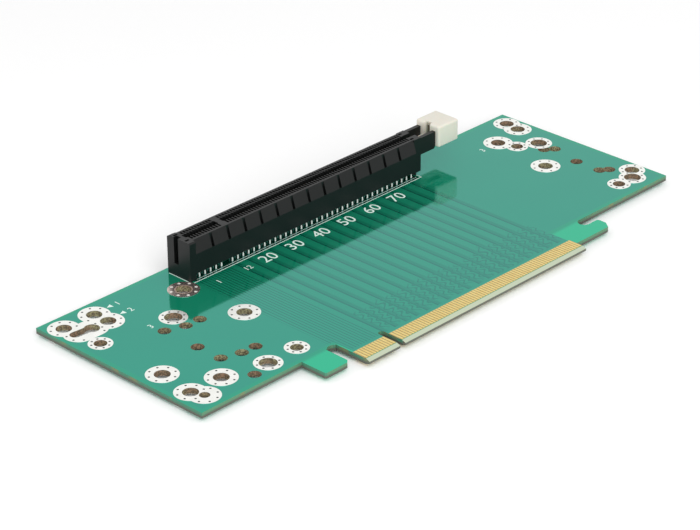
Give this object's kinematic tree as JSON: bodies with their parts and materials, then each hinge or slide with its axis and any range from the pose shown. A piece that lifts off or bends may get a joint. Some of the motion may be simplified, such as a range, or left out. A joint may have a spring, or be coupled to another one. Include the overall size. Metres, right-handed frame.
{
  "type": "riser card",
  "caption": "Flat green circuit board with a gold-fingered edge tongue and an upright black card slot whose ivory end latch hinges.",
  "frame": {"origin": "on the key notch's centreline, at the leading edge of the tongue, on the board's underside", "axes": "+X along the tongue towards the latch, +Y from the tongue to the rear edge, +Z out of the component side"},
  "size_m": [0.1801, 0.0728, 0.015],
  "materials": {
    "green_laminate": "glossy solder mask over copper",
    "black_plastic": "satin moulded plastic",
    "ivory_plastic": "satin moulded plastic",
    "gold_plate": "gold plated",
    "tinned_contact": "tin plated"
  },
  "bodies": {
    "card": {"circuit_board": "green_laminate", "slot_housing": "black_plastic", "gold_fingers_short": "gold_plate", "gold_fingers_long": "gold_plate", "contacts_front_inner_short": "tinned_contact", "contacts_front_inner_long": "tinned_contact", "contacts_front_outer_short": "tinned_contact", "contacts_front_outer_long": "tinned_contact", "contacts_rear_inner_short": "tinned_contact", "contacts_rear_inner_long": "tinned_contact", "contacts_rear_outer_short": "tinned_contact", "contacts_rear_outer_long": "tinned_contact"},
    "latch": {"retention_latch": "ivory_plastic"}
  },
  "joints": [
    {"name": "latch_hinge", "type": "hinge", "parent": "card", "child": "latch", "pos_m": [0.0791, 0.06658, 0.0086], "axis": [0, 1, 0], "range_deg": [0, 18]}
  ]
}
